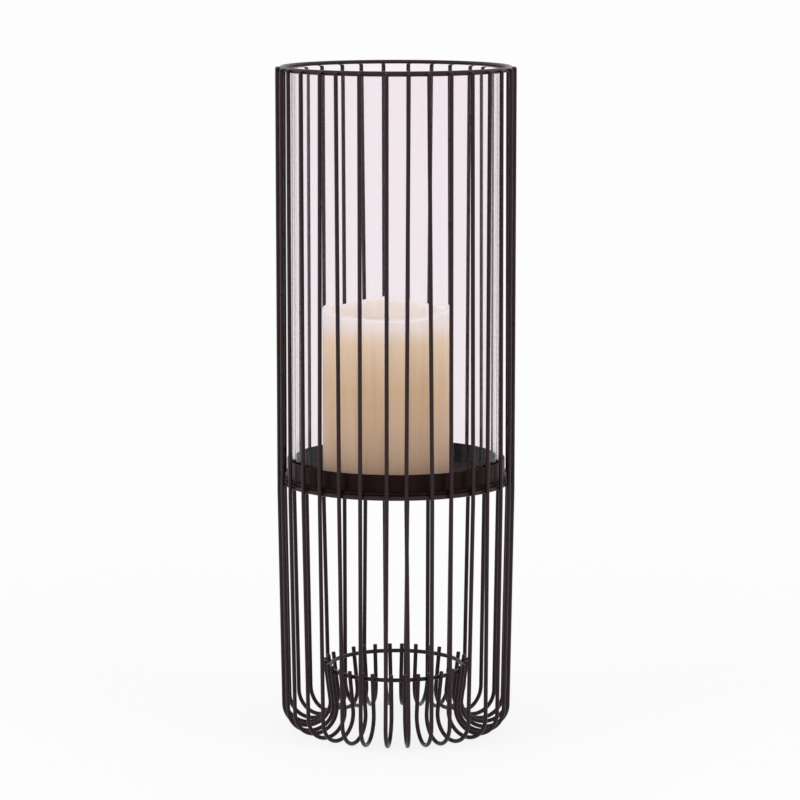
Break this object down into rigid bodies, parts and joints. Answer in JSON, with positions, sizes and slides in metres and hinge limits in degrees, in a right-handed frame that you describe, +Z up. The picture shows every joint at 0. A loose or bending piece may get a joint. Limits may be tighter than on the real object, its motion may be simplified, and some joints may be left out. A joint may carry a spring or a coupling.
{
  "type": "hurricane candle lantern",
  "caption": "Tall round wire-cage lantern: upright wires bent into looped feet, a black tray on a ring, an open smoked-glass cylinder and a pillar candle standing inside.",
  "frame": {"origin": "on the cage's axis, on the surface that the looped wire feet stand on", "axes": "+Z up along the cage's axis, -Y towards the picture's viewer"},
  "size_m": [0.1394, 0.1394, 0.3915],
  "materials": {
    "black_wire": "satin",
    "black_tray": "semi-gloss",
    "smoked_glass": "clear, lightly tinted",
    "wax": "matte wax",
    "wick": "braided cotton"
  },
  "bodies": {
    "cage": {"rib_01": "black_wire", "rib_02": "black_wire", "rib_03": "black_wire", "rib_04": "black_wire", "rib_05": "black_wire", "rib_06": "black_wire", "rib_07": "black_wire", "rib_08": "black_wire", "rib_09": "black_wire", "rib_10": "black_wire", "rib_11": "black_wire", "rib_12": "black_wire", "rib_13": "black_wire", "rib_14": "black_wire", "rib_15": "black_wire", "rib_16": "black_wire", "rib_17": "black_wire", "rib_18": "black_wire", "rib_19": "black_wire", "rib_20": "black_wire", "rib_21": "black_wire", "rib_22": "black_wire", "rib_23": "black_wire", "rib_24": "black_wire", "rib_25": "black_wire", "rib_26": "black_wire", "rib_27": "black_wire", "rib_28": "black_wire", "rib_29": "black_wire", "rib_30": "black_wire", "rib_31": "black_wire", "rib_32": "black_wire", "top_ring": "black_wire", "tray_ring": "black_wire", "foot_ring": "black_wire", "tray": "black_tray"},
    "glass": {"glass_cylinder": "smoked_glass"},
    "candle": {"candle": "wax", "wick": "wick"}
  },
  "joints": [
    {"name": "glass_lift", "type": "slide", "parent": "cage", "child": "glass", "axis": [0, 0, 1], "range_m": [0, 0.25]},
    {"name": "candle_lift", "type": "slide", "parent": "cage", "child": "candle", "axis": [0, 0, 1], "range_m": [0, 0.25]}
  ]
}
